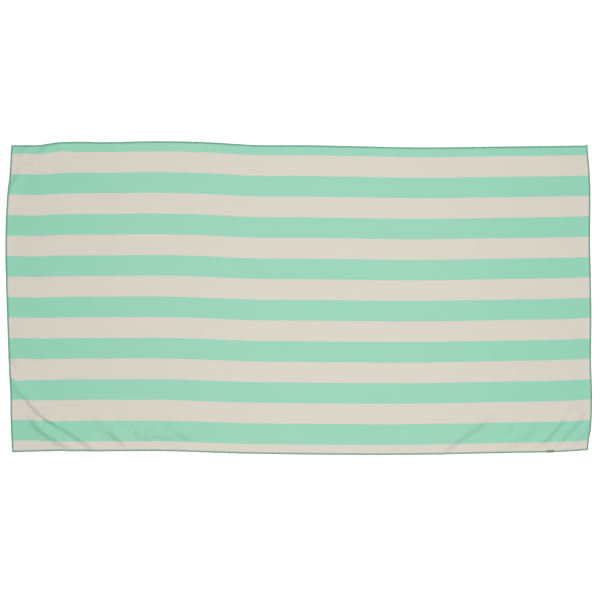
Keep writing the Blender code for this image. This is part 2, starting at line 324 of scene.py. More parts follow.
@dataclass(frozen=True)
class LaidShape:
    """The shape in which the towel lies, over its straight, flat cut. Sizes in millimetres.

    Attributes:
        length, width: of the towel over its stitching.
        thickness: of the cloth.
        edge_inset: from the towel's outline to the cloth's own edge.
        seam_line: how far in the cloth is stiff and level under its stitching.
        lift_end: how far in from its edge the cloth lies on the surface again.
        edge_lift: how high the stitching under the edge holds the cloth.
        ripple: height of the waves that the stitching pulls into the edge.
        ripple_length: from one wave to the next.
        ripple_sway: how the waves drift.
        ripple_lull: share by which their height varies along the edge.
        lull_length: length of that variation, in waves.
        ripple_starts: how far the waves are shifted at the top, bottom, right and left edge.
        ripple_reach: how far in from the edge the waves fade out.
        swell: height of the broad, low unevenness of the whole cloth.
        swell_length: from one swell to the next, about.
        swell_along, swell_across: how the swells follow each other in the two directions.
    """

    length: float = 1700.0
    width: float = 900.0
    thickness: float = 1.2
    edge_inset: float = 0.8
    seam_line: float = 4.3
    lift_end: float = 16.0
    edge_lift: float = 0.8
    ripple: float = 0.7
    ripple_length: float = 52.0
    ripple_sway: Sway = Sway(rate=1.0, drift=1.7, drift_rate=1 / 6.3)
    ripple_lull: float = 0.45
    lull_length: float = 11.7
    ripple_starts: tuple[float, ...] = (40.0, 223.0, 91.0, 310.0)
    ripple_reach: float = 30.0
    swell: float = 0.35
    swell_length: float = 170.0
    swell_along: Sway = Sway(rate=0.83, drift=1.9, drift_rate=0.61, drift_start=0.7)
    swell_across: Sway = Sway(rate=1.21, drift=1.4, drift_rate=0.47, drift_start=2.1)

    @property
    def half_length(self) -> float:
        """From the towel's middle to the cloth's own right edge."""
        return self.length / 2 - self.edge_inset

    @property
    def half_width(self) -> float:
        """From the towel's middle to the cloth's own top edge."""
        return self.width / 2 - self.edge_inset

    def spread(self, x: Places, y: Places) -> tuple[Places, Places]:
        """Where places of the straight towel lie, once its sides wander.

        Args:
            x, y: places on the straight towel.

        Returns:
            The same places on the laid towel.
        """
        left = -self.length / 2 - LEFT_SIDE.at(y)
        right = self.length / 2 + RIGHT_SIDE.at(y)
        bottom = -self.width / 2 - BOTTOM_SIDE.at(x)
        top = self.width / 2 + TOP_SIDE.at(x)
        return (
            left + (right - left) * (x / self.length + 0.5),
            bottom + (top - bottom) * (y / self.width + 0.5),
        )

    def wave(self, along: Places, start: float) -> Places:
        """Uneven waves between 0 and 1 along an edge.

        Args:
            along: places along the edge.
            start: how far the waves are shifted.

        Returns:
            The waves' height at each place.
        """
        turn = 2 * np.pi * (along + start) / self.ripple_length
        lull = self.ripple_lull * (np.sin(turn / self.lull_length + start) - 1)
        return (0.5 + 0.5 * self.ripple_sway.at(turn, turn)) * (1 + lull)

    def ripples(self, x: Places, y: Places) -> Places:
        """Height of the ripples along all four edges.

        Args:
            x, y: places on the straight towel.

        Returns:
            The height at each place.
        """
        top, bottom, right, left = self.ripple_starts
        by_long = 1 - smooth_step((self.half_width - np.abs(y)) / self.ripple_reach)
        by_short = 1 - smooth_step((self.half_length - np.abs(x)) / self.ripple_reach)
        long_waves = np.where(y > 0, self.wave(x, top), self.wave(x, bottom))
        short_waves = np.where(x > 0, self.wave(y, right), self.wave(y, left))
        return self.ripple * np.maximum(by_long * long_waves, by_short * short_waves)

    def swells(self, x: Places, y: Places) -> Places:
        """Height of the broad, low unevenness, which leaves most of the cloth lying flat.

        Args:
            x, y: places on the straight towel.

        Returns:
            The height at each place.
        """
        turn_x = 2 * np.pi * x / self.swell_length
        turn_y = 2 * np.pi * y / self.swell_length
        rolls = self.swell_along.at(turn_x, turn_y) * self.swell_across.at(turn_y, turn_x)
        return self.swell * np.maximum(rolls, 0) ** 2

    def underside(self, x: Places, y: Places) -> Places:
        """Height of the cloth's underside over the surface.

        Args:
            x, y: places on the straight towel. Beyond the seam line, the height is that of
                the seam line, because the stitching holds the cloth stiff there.

        Returns:
            The height at each place.
        """
        half_length = self.half_length - self.seam_line
        half_width = self.half_width - self.seam_line
        x = np.clip(x, -half_length, half_length)
        y = np.clip(y, -half_width, half_width)
        from_edge = np.minimum(half_length - np.abs(x), half_width - np.abs(y))
        height = self.edge_lift * (1 - smooth_step(from_edge / (self.lift_end - self.seam_line)))
        laid = self.spread(x, y)
        for crease in CREASES:
            height = height + crease.height_at(*laid)
        return height + self.ripples(x, y) + self.swells(x, y)

    def points(self, x: Places, y: Places, above: Places) -> Places:
        """Lays out points at heights above the underside, as rows of x, y and z in metres."""
        return MM * np.column_stack((*self.spread(x, y), self.underside(x, y) + above))


# ---------------------------------------------------------------- nodes as expressions


def both_ways(operation: str) -> tuple[Callable, Callable]:
    """Writes an operator of Value and its reflected form.

    Args:
        operation: the Math node's operation.

    Returns:
        The two methods.
    """

    def plain(this: "Value", other: "Value | float") -> "Value":
        """Works on this and other."""
        return this.math(operation, this, other)

    def reflected(this: "Value", other: float) -> "Value":
        """Works on a plain number and this."""
        return this.math(operation, other, this)

    return plain, reflected


class Value:
    """A number or colour that varies over a surface: one output socket with operators.

    Attributes:
        bench: the node bench that it belongs to.
        socket: the output socket.
    """

    def __init__(self, bench: "NodeBench", socket: bpy.types.NodeSocket) -> None:
        self.bench = bench
        self.socket = socket

    def math(self, operation: str, *operands: "Value | float") -> "Value":
        """Adds one Math node and returns its result."""
        inputs = dict(enumerate(operands))
        return self.bench.add("ShaderNodeMath", {"operation": operation}, inputs)

    __add__, __radd__ = both_ways("ADD")
    __sub__, __rsub__ = both_ways("SUBTRACT")
    __mul__, __rmul__ = both_ways("MULTIPLY")
    __truediv__, __rtruediv__ = both_ways("DIVIDE")

    def fraction(self) -> "Value":
        """What is left of this over the whole number below it."""
        return self.math("FRACT", self)

    def magnitude(self) -> "Value":
        """This without its sign."""
        return self.math("ABSOLUTE", self)

    def sine(self) -> "Value":
        """The sine of this, in radians."""
        return self.math("SINE", self)

    def rising(self, low: float, high: float) -> "Value":
        """Goes smoothly from 0 to 1 as this goes from low to high."""
        inputs = {"Value": self, "From Min": low, "From Max": high}
        return self.bench.add("ShaderNodeMapRange", {"interpolation_type": "SMOOTHSTEP"}, inputs)

    def between(self, first: "Value | Colour", second: "Value | Colour") -> "Value":
        """A colour that goes from first to second as this goes from 0 to 1."""
        inputs = {"Factor_Float": self, "A_Color": first, "B_Color": second}
        return self.bench.add("ShaderNodeMix", {"data_type": "RGBA"}, inputs, output="Result_Color")

    def scaled(self, by: "Value | float") -> "Value":
        """This colour or vector, times a number."""
        return self.bench.add("ShaderNodeVectorMath", {"operation": "SCALE"}, {0: self, "Scale": by})

    def stretched(self, by: Colour) -> "Value":
        """This vector, with each part times its own number."""
        return self.bench.add("ShaderNodeVectorMath", {"operation": "MULTIPLY"}, {0: self, 1: by})


class NodeBench:
    """Builds the node tree of one material from expressions.

    Attributes:
        material: the material.
        tree: its node tree.
    """

    def __init__(self, name: str) -> None:
        """Makes a material with an empty tree.

        Args:
            name: the material's name.
        """
        self.material = bpy.data.materials.new(name)
        self.material.use_nodes = True
        self.tree = self.material.node_tree
        self.tree.nodes.clear()

    @staticmethod
    def _socket(sockets: bpy.types.NodeInputs, key: "str | int") -> bpy.types.NodeSocket:
        """Finds a socket by its place, identifier or name."""
        found = (s for i, s in enumerate(sockets) if key in (i, s.identifier, s.name))
        return next(found)

    def node(self, kind: str, settings: dict[str, object], inputs: dict) -> bpy.types.Node:
        """Adds one node.

        Args:
            kind: its type, such as "ShaderNodeTexNoise".
            settings: its own settings, set before its sockets.
            inputs: for each of its sockets that is used, a number, a colour, a vector or
                a Value to link.

        Returns:
            The node.
        """
        node = self.tree.nodes.new(kind)
        for name, setting in settings.items():
            setattr(node, name, setting)
        for key, given in inputs.items():
            socket = self._socket(node.inputs, key)
            if isinstance(given, Value):
                self.tree.links.new(given.socket, socket)
            elif socket.type == "RGBA":
                socket.default_value = (*given, 1)
            else:
                socket.default_value = given
        return node

    def add(
        self,
        kind: str,
        settings: dict[str, object],
        inputs: dict,
        output: "str | int" = 0,
    ) -> Value:
        """Adds one node, as node does, and returns one of its outputs as a Value."""
        return Value(self, self._socket(self.node(kind, settings, inputs).outputs, output))

    def map_places(self, uv_map: str) -> Value:
        """The places that a UV map of the piece holds, in metres."""
        return self.add("ShaderNodeUVMap", {"uv_map": uv_map}, {})

    def object_places(self) -> Value:
        """Places on the piece, in its object's metres."""
        return self.add("ShaderNodeTexCoord", {}, {}, output="Object")

    def part_of(self, vector: Value, axis: str) -> Value:
        """One part of a vector, X, Y or Z."""
        return self.add("ShaderNodeSeparateXYZ", {}, {0: vector}, output=axis)

    def noise(self, at: Value, size: float, detail: float = 2.0, rough: float = 0.5) -> Value:
        """Soft noise between 0 and 1.

        Args:
            at: the places at which it is read.
            size: how wide its spots are, in metres.
            detail: how many finer layers it has.
            rough: how strong those are.

        Returns:
            The noise.
        """
        inputs = {"Vector": at, "Scale": 1 / size, "Detail": detail, "Roughness": rough}
        return self.add("ShaderNodeTexNoise", {"noise_dimensions": "3D"}, inputs)

    def raised(self, height: Value, depth: float, strength: float = 1.0) -> Value:
        """A normal for the relief of a height between 0 and 1, depth metres deep."""
        inputs = {"Height": height, "Distance": depth, "Strength": strength}
        return self.add("ShaderNodeBump", {}, inputs)

    def finish(self, colour: Value, rough: Value, normal: Value, **constants: object) -> bpy.types.Material:
        """Closes the material with its surface shader.

        Args:
            colour: its base colour.
            rough: its roughness.
            normal: its normal.
            constants: sockets that are the same all over, named with _ for each space.

        Returns:
            The finished material.
        """
        inputs = {"Base Color": colour, "Roughness": rough, "Normal": normal}
        inputs.update({name.replace("_", " "): value for name, value in constants.items()})
        surface = self.add("ShaderNodeBsdfPrincipled", {}, inputs)
        self.node("ShaderNodeOutputMaterial", {}, {"Surface": surface})
        return self.material


# ---------------------------------------------------------------- finishes


class ClothSide(Enum):
    """The two sides of the printed cloth."""

    FACE = "face"
    BACK = "back"


@dataclass(frozen=True)
class StripedCloth:
    """Suede microfibre with lengthwise stripes printed on its face. Sizes in millimetres.

    The print goes through the cloth, so the back shows the same stripes, but paler.

    Attributes:
        side: which side of the cloth this is.
        green, beige: the print's colours on the face.
        deep_green: the green towards both ends, where the dye is denser.
        deep_from, deep_to: where along the towel it starts to deepen, and where it is deepest.
        undyed: the yarn's own colour.
        show_through: how much of the print's colour the back has.
        print_edge: from the towel's middle line to the first stripe's outer edge.
        first_beige: from there down to the first beige stripe.
        repeat: one beige and one green stripe together.
        beige_share: how much of the repeat is beige.
        bleed: how far the colours run into each other.
        stray: how far a stripe's edge strays from straight.
        stray_length: size of one such stretch.
        pile_width, pile_length: size of the brushed pile's tufts, across and along.
        pile_depth: of its relief.
        pile_painted_shade: painted shade of the pile: how much darker the low tufts and lighter the high
            ones are drawn.
        pile_ink: how much more or less of the print single tufts of the back hold.
        tip_rough, root_rough: roughness at the tufts' tips, and deep between them.
        nap_width, nap_length: size of the broad patches in which the pile leans alike.
        nap_painted_sheen: painted sheen of those patches: how much darker or lighter they are drawn, as
            leaning pile catches the light.
        fuzz: size of the single fibres.
        rib: from one course of the knit to the next.
        rib_painted_shade: painted shade of the courses: how much darker and lighter they are drawn along
            their relief.
        relief_shares: of the tufts, the fibres and the courses in the relief.
    """

    side: ClothSide
    green: Colour = (0.297, 0.600, 0.449)
    beige: Colour = (0.637, 0.594, 0.527)
    deep_green: Colour = (0.279, 0.600, 0.447)
    deep_from: float = 400.0
    deep_to: float = 800.0
    undyed: Colour = (0.74, 0.73, 0.70)
    show_through: float = 0.42
    print_edge: float = 450.0
    first_beige: float = 28.6
    repeat: float = 120.2
    beige_share: float = 0.5017
    bleed: float = 0.9
    stray: float = 0.6
    stray_length: float = 35.0
    pile_width: float = 0.55
    pile_length: float = 1.5
    pile_depth: float = 0.12
    pile_painted_shade: float = 0.16
    pile_ink: float = 0.12
    tip_rough: float = 0.86
    root_rough: float = 1.02
    nap_width: float = 60.0
    nap_length: float = 100.0
    nap_painted_sheen: float = 0.018
    fuzz: float = 0.2
    rib: float = 1.15
    rib_painted_shade: float = 0.008
    relief_shares: tuple[float, float, float] = (0.7, 0.3, 0.05)

    def beige_to_green(self, bench: NodeBench, places: Value) -> Value:
        """The print's mask, 0 on beige and 1 on green.

        Args:
            bench: where the nodes go.
            places: places on the printing table, in metres.

        Returns:
            The mask.
        """
        repeat = MM * self.repeat
        middle = MM * (self.print_edge - self.first_beige) - self.beige_share * repeat / 2
        stray = bench.noise(places, size=MM * self.stray_length, detail=3.0) - 0.5
        down = middle - bench.part_of(places, "Y") + MM * self.stray * 2 * stray
        from_middle = ((down / repeat + 0.5).fraction() - 0.5).magnitude()
        soft = self.bleed / self.repeat / 2
        return from_middle.rising(self.beige_share / 2 - soft, self.beige_share / 2 + soft)

    def pile(self, bench: NodeBench, places: Value) -> Value:
        """The brushed pile's height between 0 and 1, in tufts that lie along the towel."""
        stretch = (self.pile_width / self.pile_length, 1.0, 1.0)
        return bench.noise(places.stretched(stretch), size=MM * self.pile_width, detail=3.0, rough=0.6)

    def ribs(self, bench: NodeBench, places: Value) -> Value:
        """The knit's courses, between -1 and 1 across the towel."""
        turn = 2 * np.pi / (MM * self.rib)
        return (bench.part_of(places, "Y") * turn).sine()

    def colour(self, bench: NodeBench, places: Value, tufts: Value) -> Value:
        """The cloth's colour: its print, with painted shade of the pile and the knit's courses, and painted
        sheen of the nap's patches.

        Args:
            bench: where the nodes go.
            places: places on the printing table, in metres.
            tufts: the pile's height.

        Returns:
            The colour.
        """
        to_end = bench.part_of(places, "X").magnitude().rising(MM * self.deep_from, MM * self.deep_to)
        dye = to_end.between(self.green, self.deep_green)
        ink = self.beige_to_green(bench, places).between(self.beige, dye)
        if self.side is ClothSide.BACK:
            ink = (self.show_through + self.pile_ink * (tufts - 0.5)).between(self.undyed, ink)
        leaning = places.stretched((self.nap_width / self.nap_length, 1.0, 1.0))
        nap = bench.noise(leaning, size=MM * self.nap_width, detail=3.0, rough=0.55)
        # Painted shade: low tufts and the courses' grooves are drawn darker. Painted sheen: the nap's
        # patches are drawn lighter and darker.
        shade = 1 + self.pile_painted_shade * (tufts - 0.5) + self.nap_painted_sheen * 2 * (nap - 0.5)
        return ink.scaled(shade + self.rib_painted_shade * self.ribs(bench, places))

    def material(self) -> bpy.types.Material:
        """Makes the material of this side.

        Returns:
            The material.
        """
        bench = NodeBench(f"towel_cloth_{self.side.value}")
        places = bench.map_places(Cloth.uv_map)
        tufts = self.pile(bench, places)
        fuzz = bench.noise(places, size=MM * self.fuzz, detail=1.0)
        of_tufts, of_fuzz, of_ribs = self.relief_shares
        relief = of_tufts * tufts + of_fuzz * fuzz + of_ribs * self.ribs(bench, places)
        return bench.finish(
            colour=self.colour(bench, places, tufts),
            rough=self.tip_rough + (self.root_rough - self.tip_rough) * (1 - tufts),
            normal=bench.raised(relief, depth=MM * self.pile_depth, strength=0.8),
            Specular_IOR_Level=0.12,
            Sheen_Weight=0.12,
            Sheen_Roughness=0.55,
            Sheen_Tint=(0.92, 0.97, 0.94),
        )


@dataclass(frozen=True)
class SpunThread:
    """Spun polyester thread, its plies twisted together. Sizes in millimetres.

    Attributes:
        colour: its dye.
        plies: how many there are.
        ply_turn: thread length for one turn of the plies.
        ply_depth: depth of the groove between them.
        ply_groove_painted_shade: painted shade in that groove: how much darker it is drawn.
        hair: size of the single fibres.
        hair_shade: how much darker or lighter those are.
        fade: how much the dye varies along the thread.
        fade_length: size of one such stretch.
        lighter: how many times the lightest dye's colour is the darkest's.
        rough, hair_rough: roughness between the fibres, and how much more it is on them.
        relief_shares: of the plies and the fibres in the relief.
    """

    colour: Colour = (0.174, 0.438, 0.306)
    plies: int = 2
    ply_turn: float = 1.1
    ply_depth: float = 0.09
    ply_groove_painted_shade: float = 0.30
    hair: float = 0.18
    hair_shade: float = 0.18
    fade: float = 0.16
    fade_length: float = 6.0
    lighter: float = 1.06
    rough: float = 0.62
    hair_rough: float = 0.2
    relief_shares: tuple[float, float] = (0.8, 0.2)

    def material(self) -> bpy.types.Material:
        """Makes the material.

        Returns:
            The material.
        """
        bench = NodeBench("overlock_thread")
        lay = bench.map_places(Strand.uv_map)
        along = bench.part_of(lay, "X")
        around = bench.part_of(lay, "Y")
        turn = 2 * np.pi * (along / (MM * self.ply_turn) + self.plies * around)
        twist = 0.5 + 0.5 * turn.sine()
        places = bench.object_places()
        hairs = bench.noise(places, size=MM * self.hair)
        fade = bench.noise(places, size=MM * self.fade_length) - 0.5
        # Painted shade: the groove between the plies is drawn darker.
        painted_groove_shade = self.ply_groove_painted_shade * (1 - twist)
        shade = 1 - painted_groove_shade + self.hair_shade * (hairs - 0.5) + self.fade * 2 * fade
        dye = (0.5 + fade).between(self.colour, tuple(self.lighter * part for part in self.colour))
        of_twist, of_hairs = self.relief_shares
        return bench.finish(
            colour=dye.scaled(shade),
            rough=self.rough + self.hair_rough * hairs,
            normal=bench.raised(of_twist * twist + of_hairs * hairs, depth=MM * self.ply_depth),
            Specular_IOR_Level=0.3,
            Sheen_Weight=0.3,
            Sheen_Roughness=0.4,
        )


@dataclass(frozen=True)
class WovenTape:
    """Plain woven label tape, bare. Sizes in millimetres.

    Attributes:
        weft, warp: colours of the threads across the tape and along it.
        pitch: from one wave of a thread to its next.
        relief: depth of the weave.
        slub_width, slub_length: size of the uneven spots in its threads.
        slub_shade: how much lighter the lightest spots are than the darkest.
        rough, slub_rough: the tape's roughness, and how much more it is on those spots.
        relief_shares: of the weave and the spots in the relief.
    """

    weft: Colour = (0.145, 0.198, 0.153)
    warp: Colour = (0.178, 0.240, 0.186)
    pitch: float = 0.42
    relief: float = 0.07
    slub_width: float = 0.8
    slub_length: float = 4.0
    slub_shade: float = 0.2
    rough: float = 0.58
    slub_rough: float = 0.16
    relief_shares: tuple[float, float] = (0.7, 0.3)

    def material(self) -> bpy.types.Material:
        """Makes the material.

        Returns:
            The material.
        """
        bench = NodeBench("label_tape")
        places = bench.map_places(SideLabel.uv_map)
        turn = 2 * np.pi / (MM * self.pitch)
        over = (bench.part_of(places, "X") * turn).sine() * (bench.part_of(places, "Y") * turn).sine()
        weave = 0.5 + 0.5 * over
        drawn_out = places.stretched((1.0, self.slub_width / self.slub_length, 1.0))
        slub = bench.noise(drawn_out, size=MM * self.slub_width)
        shade = 1 - self.slub_shade / 2 + self.slub_shade * slub
        of_weave, of_slub = self.relief_shares
        return bench.finish(
            colour=weave.between(self.weft, self.warp).scaled(shade),
            rough=self.rough + self.slub_rough * slub,
            normal=bench.raised(of_weave * weave + of_slub * slub, depth=MM * self.relief),
            Specular_IOR_Level=0.35,
            Sheen_Weight=0.12,
        )


# ---------------------------------------------------------------- pieces


def linked(name: str, data: bpy.types.ID) -> bpy.types.Object:
    """Makes an object of its data.

    Args:
        name: the object's name.
        data: its mesh, lamp or camera.

    Returns:
        The object, linked to the scene.
    """
    made = bpy.data.objects.new(name, data)
    bpy.context.collection.objects.link(made)
    return made


def add_piece(name: str, mesh: bpy.types.Mesh, finishes: list[bpy.types.Material]) -> bpy.types.Object:
    """Puts a finished mesh into the scene as one piece.

    Args:
        name: the piece's name.
        mesh: its mesh, in metres, in its place.
        finishes: its materials, in the order of the mesh's material numbers.

    Returns:
        The piece's object.
    """
    mesh.name = name
    for finish in finishes:
        mesh.materials.append(finish)
    return linked(name, mesh)


def mesh_from(bm: bmesh.types.BMesh) -> bpy.types.Mesh:
    """Turns a bmesh into a mesh.

    Args:
        bm: the bmesh, which is freed.

    Returns:
        The mesh.
    """
    mesh = bpy.data.meshes.new("shape")
    bm.to_mesh(mesh)
    bm.free()
    return mesh


def places_of(mesh: bpy.types.Mesh) -> Places:
    """Reads a mesh's vertices.

    Args:
        mesh: the mesh.

    Returns:
        One row of x, y and z for each.
    """
    flat = np.empty(3 * len(mesh.vertices))
    mesh.vertices.foreach_get("co", flat)
    return flat.reshape(-1, 3)


def move_to(mesh: bpy.types.Mesh, points: Places) -> None:
    """Moves the mesh's vertices to new points, a row of three for each."""
    mesh.vertices.foreach_set("co", np.ascontiguousarray(points).ravel())
    mesh.update()


@dataclass
class Cloth:
    """The towel's one sheet of cloth. Sizes in millimetres.

    Attributes:
        shape: how it lies.
        name: the piece's name.
        grid: spacing of its grid's lines, at most.
        fine_reach: how near a ridge the grid is halved, and halved again.
        edge_lines: grid lines beside each edge, from the edge in.
        edge_round: how much the cut edge's corners are worn round.
        draw_reach: how far from a ridge the cloth gave way to it.
        print_drift: how far the print sits off towards the top side, along the towel.
        sharp_angle: between faces that meet in a sharp edge, at least, in degrees.
    """

    uv_map = "printing_table"

    shape: LaidShape
    name: str = "striped_cloth"
    grid: float = 10.0
    fine_reach: tuple[float, ...] = (40.0, 20.0)
    edge_lines: tuple[float, ...] = (0.0, 0.5, 2.2, 4.3, 8.0, 12.0)
    edge_round: float = 0.22
    draw_reach: float = 150.0
    print_drift: Wander = Wander(rows=(
        (-850, 4.0), (-795, 3.4), (-739, -0.2), (-695, -1.6), (-600, -0.6),
        (-400, -1.2), (0, -0.8), (500, 0.0), (850, 0.0),
    ))
    sharp_angle: float = 60.0

    def grid_lines(self, half: float) -> Places:
        """Spaces the grid's lines across one direction.

        Args:
            half: from the towel's middle to the cloth's edge.

        Returns:
            The lines' places, from one edge to the other.
        """
        beside = np.array(self.edge_lines)
        inner = half - self.shape.lift_end
        between = np.linspace(-inner, inner, int(np.ceil(2 * inner / self.grid)) + 1)
        return np.concatenate([beside - half, between, half - beside[::-1]])

    def halve_near_ridges(self, bm: bmesh.types.BMesh, reach: float) -> None:
        """Halves the grid's cells near every crease.

        Args:
            bm: the straight grid on the plane.
            reach: how near a cell's middle has to be to a ridge.
        """
        faces = bm.faces[:]
        middles = np.array([face.calc_center_median() for face in faces])
        laid = self.shape.spread(middles[:, 0], middles[:, 1])
        near = np.zeros(len(faces), bool)
        for crease in CREASES:
            near |= crease.beside(*laid).distance < reach
        edges = {edge for face, chosen in zip(faces, near) if chosen for edge in face.edges}
        bmesh.ops.subdivide_edges(
            bm, edges=list(edges), cuts=1, use_grid_fill=True, use_single_edge=True
        )

    def flat_grid(self) -> bpy.types.Mesh:
        """Cuts the cloth straight, as a grid on the plane.

        Returns:
            Its mesh, in millimetres, with the face's and the back's material numbers.
        """
        columns = self.grid_lines(self.shape.half_length)
        rows = self.grid_lines(self.shape.half_width)
        bm = bmesh.new()
        bmesh.ops.create_grid(bm, x_segments=len(columns) - 1, y_segments=len(rows) - 1, size=1)
        for vert in bm.verts:
            column = round((vert.co.x + 1) / 2 * (len(columns) - 1))
            row = round((vert.co.y + 1) / 2 * (len(rows) - 1))
            vert.co.x, vert.co.y = columns[column], rows[row]
        for reach in self.fine_reach:
            self.halve_near_ridges(bm, reach)
        raised = bmesh.ops.extrude_face_region(bm, geom=bm.faces[:])["geom"]
        upper = [part for part in raised if isinstance(part, bmesh.types.BMVert)]
        bmesh.ops.translate(bm, vec=(0, 0, self.shape.thickness), verts=upper)
        bmesh.ops.recalc_face_normals(bm, faces=bm.faces)
        for face in bm.faces:
            face.material_index = 0 if face.normal.z > 0.5 else 1
            face.smooth = True
        return mesh_from(bm)

    def chart_print(self, mesh: bpy.types.Mesh) -> None:
        """Gives the cut a UV map of where each place lay on the printing table, in metres.

        Args:
            mesh: the straight cut.
        """
        flat = places_of(mesh)
        laid = self.shape.spread(flat[:, 0], flat[:, 1])
        across = flat[:, 1] - self.print_drift.at(flat[:, 0])
        for crease in CREASES:
            if crease.from_steep or crease.from_gentle:
                across = across - crease.drawn_up(*laid, reach=self.draw_reach)
        corners = np.empty(len(mesh.loops), int)
        mesh.loops.foreach_get("vertex_index", corners)
        chart = MM * np.column_stack((flat[:, 0], across))[corners]
        mesh.uv_layers.new(name=self.uv_map).data.foreach_set("uv", chart.ravel())

    def build(self) -> bpy.types.Object:
        """Cuts, prints and lays out the cloth.

        Returns:
            The piece.
        """
        mesh = self.flat_grid()
        self.chart_print(mesh)
        flat = places_of(mesh)
        from_edge = np.minimum(
            self.shape.half_length - np.abs(flat[:, 0]), self.shape.half_width - np.abs(flat[:, 1])
        )
        worn = self.edge_round * np.clip(1 - from_edge / self.edge_lines[1], 0, 1)
        above = np.where(flat[:, 2] > 0, flat[:, 2] - worn, worn)
        move_to(mesh, self.shape.points(flat[:, 0], flat[:, 1], above))
        mesh.set_sharp_from_angle(angle=np.radians(self.sharp_angle))
        finishes = [StripedCloth(side).material() for side in ClothSide]
        return add_piece(self.name, mesh, finishes)


@dataclass(frozen=True)
class Strand:
    """The part of one thread that belongs to one stitch.

    Attributes:
        way: the thread's middle line, as places along the side from the stitch's start, in from
            the cloth's edge and over the cloth's underside, in millimetres. Where the thread
            goes on into the next stitch, its last place is its first, one stitch further.
        radius: of the thread, in millimetres.
        sides: of its tube.
        core: the place (inward, above) that the threads wrap round.
    """

    uv_map = "thread_lay"

    way: tuple[tuple[float, float, float], ...]
    radius: float
    sides: int
    core: tuple[float, float] = (2.2, 0.6)

    def frames(self) -> list[Matrix]:
        """Sets the tube's rings square to the thread's way.

        Returns:
            Where each ring stands.
        """
        points = [Vector(place) for place in self.way]
        steps = [after - before for before, after in zip(points, points[1:])]
        before = [steps[-1], *steps]
        after = [*steps, steps[0]]
        frames = []
        for point, step_in, step_out in zip(points, before, after):
            forward = (step_in.normalized() + step_out.normalized()).normalized()
            outward = point - Vector((point.x, *self.core))
            sideways = outward.cross(forward).normalized()
            turned = Matrix((sideways, forward.cross(sideways), forward)).transposed()
            frames.append(Matrix.Translation(point) @ turned.to_4x4())
        return frames

    def add_to(self, bm: bmesh.types.BMesh) -> None:
        """Adds the strand's tube to a stitch.

        Args:
            bm: the stitch, in millimetres.
        """
        lay = bm.loops.layers.uv.verify()
        frames = self.frames()
        ring = bmesh.ops.create_circle(
            bm, segments=self.sides, radius=self.radius, cap_ends=False, matrix=frames[0]
        )["verts"]
        lengths = np.cumsum(
            [0.0] + [(b.translation - a.translation).length for a, b in zip(frames, frames[1:])]
        )
        for i in range(len(frames) - 1):
            beside = {edge for vert in ring for edge in vert.link_edges}
            edges = [edge for edge in beside if all(vert in ring for vert in edge.verts)]
            grown = bmesh.ops.extrude_edge_only(bm, edges=edges)["geom"]
            fresh = {part for part in grown if isinstance(part, bmesh.types.BMVert)}
            carry = frames[i + 1] @ frames[i].inverted()
            bmesh.ops.transform(bm, matrix=carry, verts=list(fresh))
            next_ring = [
                next(edge.other_vert(vert) for edge in vert.link_edges if edge.other_vert(vert) in fresh)
                for vert in ring
            ]
            turn_of = {vert: k / self.sides for rim in (ring, next_ring) for k, vert in enumerate(rim)}
            for face in (part for part in grown if isinstance(part, bmesh.types.BMFace)):
                turns = [turn_of[loop.vert] for loop in face.loops]
                wraps = max(turns) - min(turns) > 0.5
                for loop, turn in zip(face.loops, turns):
                    run = lengths[i + 1] if loop.vert in fresh else lengths[i]
                    loop[lay].uv = (MM * run, 1.0 if wraps and turn == 0 else turn)
            ring = next_ring


# The three threads of one stitch, which takes up this much of a side, in millimetres.
PITCH = 1.8
UPPER_LOOPER = Strand(
    way=(
        (0.00, -0.40, 0.62), (0.14, -0.28, 1.22), (0.38, 0.60, 1.58),
        (0.61, 2.75, 1.56), (0.90, 4.50, 1.50), (1.21, 2.75, 1.58),
        (1.46, 0.60, 1.60), (1.67, -0.28, 1.24), (1.80, -0.40, 0.62),
    ),
    radius=0.42,
    sides=5,
)
LOWER_LOOPER = Strand(
    way=(
        (0.90, -0.38, 0.50), (1.17, 0.30, -0.25), (1.53, 2.70, -0.31),
        (1.80, 4.40, -0.27), (2.07, 2.70, -0.31), (2.43, 0.30, -0.25),
        (2.70, -0.38, 0.50),
    ),
    radius=0.38,
    sides=4,
)
NEEDLE_THREAD = Strand(
    way=(
        (0.09, 4.40, 0.95), (0.45, 4.40, 1.74), (1.35, 4.40, 1.74),
        (1.71, 4.40, 0.95),
    ),
    radius=0.27,
    sides=4,
)


class SewnSide(Enum):
    """The four sides, each with whether it is a long one and which of its pair it is."""

    TOP = (True, 1)
    BOTTOM = (True, -1)
    RIGHT = (False, 1)
    LEFT = (False, -1)

    @property
    def is_long(self) -> bool:
        """Whether it runs along the towel's length."""
        return self.value[0]

    @property
    def sign(self) -> int:
        """1 for the top or right side, and -1 for the other of its pair."""
        return self.value[1]


